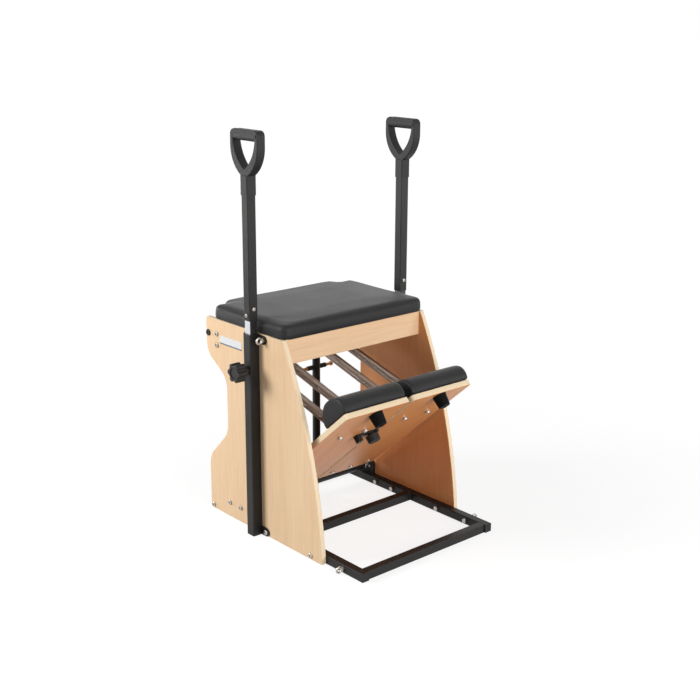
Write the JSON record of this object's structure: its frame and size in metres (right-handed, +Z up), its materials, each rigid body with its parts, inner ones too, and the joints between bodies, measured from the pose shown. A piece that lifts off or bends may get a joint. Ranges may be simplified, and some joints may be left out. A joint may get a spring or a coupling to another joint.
{
  "type": "pilates chair",
  "caption": "Pilates chair with plywood side panels, a padded seat, sprung split foot pedals and height-adjustable side handles on a steel base.",
  "frame": {"origin": "middle of the footprint on the floor", "axes": "+X across the chair to the side that the picture has on its right, +Y from the pedals to the rear, +Z up"},
  "size_m": [0.691, 0.675, 1.155],
  "materials": {
    "plywood": "clear satin lacquer on birch ply",
    "vinyl": "fine grained charcoal vinyl",
    "black_steel": "satin powder coat",
    "zinc_steel": "bright zinc plate",
    "spring_steel": "bright drawn wire",
    "stainless": "polished",
    "black_plastic": "fine matte texture",
    "nylon": "smooth",
    "rubber": "matte",
    "brass": "turned"
  },
  "bodies": {
    "chair_frame": {"front_apron": "plywood", "seat_board": "plywood", "seat_pad": "vinyl", "seat_brackets": "zinc_steel", "front_cross_bar": "black_steel", "middle_cross_bar": "black_steel", "rear_cross_bar": "black_steel", "rail_end_caps": "black_plastic", "rear_top_rail": "black_steel", "spring_pegs": "brass", "peg_sleeves": "black_plastic", "carry_bar": "black_steel", "pedal_axle": "zinc_steel", "axle_plates": "black_steel", "sleeve_liners": "black_plastic", "eye_bolts": "stainless", "frame_fasteners": "stainless", "left_side_panel": "plywood", "left_base_rail": "black_steel", "left_spring_post": "black_steel", "left_handle_sleeve": "black_steel", "right_side_panel": "plywood", "right_base_rail": "black_steel", "right_spring_post": "black_steel", "right_handle_sleeve": "black_steel"},
    "left_pedal": {"left_pedal_board": "plywood", "left_pedal_pad": "vinyl", "left_hinge_leaf": "black_steel", "left_hinge_bushes": "nylon", "left_pedal_bolts": "stainless", "left_spring_eyes": "stainless", "left_pedal_stopper": "rubber", "connector_guide": "black_plastic"},
    "left_spring_swing": {"left_inner_spring": "spring_steel", "left_outer_spring": "spring_steel", "left_spring_hooks": "spring_steel"},
    "left_spring_end": {"left_spring_links": "spring_steel"},
    "left_handle": {"left_handle_tube": "black_steel", "left_inner_tube": "zinc_steel", "left_handle_bolts": "stainless", "left_handle_grip": "black_plastic"},
    "left_knob": {"left_clamp_knob": "black_plastic"},
    "right_pedal": {"right_pedal_board": "plywood", "right_pedal_pad": "vinyl", "right_hinge_leaf": "black_steel", "right_hinge_bushes": "nylon", "right_pedal_bolts": "stainless", "right_spring_eyes": "stainless", "right_pedal_stopper": "rubber"},
    "right_spring_swing": {"right_inner_spring": "spring_steel", "right_outer_spring": "spring_steel", "right_spring_hooks": "spring_steel"},
    "right_spring_end": {"right_spring_links": "spring_steel"},
    "right_handle": {"right_handle_tube": "black_steel", "right_inner_tube": "zinc_steel", "right_handle_bolts": "stainless", "right_handle_grip": "black_plastic"},
    "right_knob": {"right_clamp_knob": "black_plastic"},
    "pedal_connector": {"connector_bar": "black_steel"},
    "connector_screw": {"connector_knob": "black_plastic"}
  },
  "joints": [
    {"name": "left_pedal_press", "type": "hinge", "parent": "chair_frame", "child": "left_pedal", "pos_m": [-0.1205, 0.205, 0.048], "axis": [1, 0, 0], "range_deg": [0, 40.4], "stiffness_Nm_per_rad": 60, "springref_deg": -17.19},
    {"name": "left_spring_tilt", "type": "hinge", "parent": "chair_frame", "child": "left_spring_swing", "pos_m": [-0.122, 0.3045, 0.4857], "axis": [1, 0, 0], "range_deg": [0, 20.7]},
    {"name": "left_spring_stretch", "type": "slide", "parent": "left_spring_swing", "child": "left_spring_end", "axis": [0, -0.9619, -0.2733], "range_m": [0, 0.2447], "deforming": ["left_inner_spring", "left_outer_spring"]},
    {"name": "left_handle_height", "type": "slide", "parent": "chair_frame", "child": "left_handle", "axis": [0, 0, 1], "range_m": [-0.035, 0.15]},
    {"name": "left_knob_turn", "type": "hinge", "parent": "chair_frame", "child": "left_knob", "pos_m": [-0.31, 0.095, 0.497], "axis": [-1, 0, 0], "continuous": true},
    {"name": "right_pedal_press", "type": "hinge", "parent": "chair_frame", "child": "right_pedal", "pos_m": [0.1205, 0.205, 0.048], "axis": [1, 0, 0], "range_deg": [0, 40.4], "stiffness_Nm_per_rad": 60, "springref_deg": -17.19},
    {"name": "right_spring_tilt", "type": "hinge", "parent": "chair_frame", "child": "right_spring_swing", "pos_m": [0.122, 0.3045, 0.4857], "axis": [1, 0, 0], "range_deg": [0, 20.7]},
    {"name": "right_spring_stretch", "type": "slide", "parent": "right_spring_swing", "child": "right_spring_end", "axis": [0, -0.9619, -0.2733], "range_m": [0, 0.2447], "deforming": ["right_inner_spring", "right_outer_spring"]},
    {"name": "right_handle_height", "type": "slide", "parent": "chair_frame", "child": "right_handle", "axis": [0, 0, 1], "range_m": [-0.035, 0.15]},
    {"name": "right_knob_turn", "type": "hinge", "parent": "chair_frame", "child": "right_knob", "pos_m": [0.31, 0.095, 0.497], "axis": [1, 0, 0], "continuous": true},
    {"name": "connector_slide", "type": "slide", "parent": "left_pedal", "child": "pedal_connector", "axis": [1, 0, 0], "range_m": [-0.014, 0]},
    {"name": "connector_screw_turn", "type": "hinge", "parent": "left_pedal", "child": "connector_screw", "pos_m": [-0.031, -0.1191, 0.3138], "axis": [0, 0.6561, 0.7547], "continuous": true}
  ],
  "couplings": [
    {"joint": "left_spring_tilt", "follows": "left_pedal_press", "ratio": 0.51102},
    {"joint": "left_spring_stretch", "follows": "left_pedal_press", "m_per_rad": 0.34685},
    {"joint": "right_spring_tilt", "follows": "right_pedal_press", "ratio": 0.51102},
    {"joint": "right_spring_stretch", "follows": "right_pedal_press", "m_per_rad": 0.34685}
  ]
}
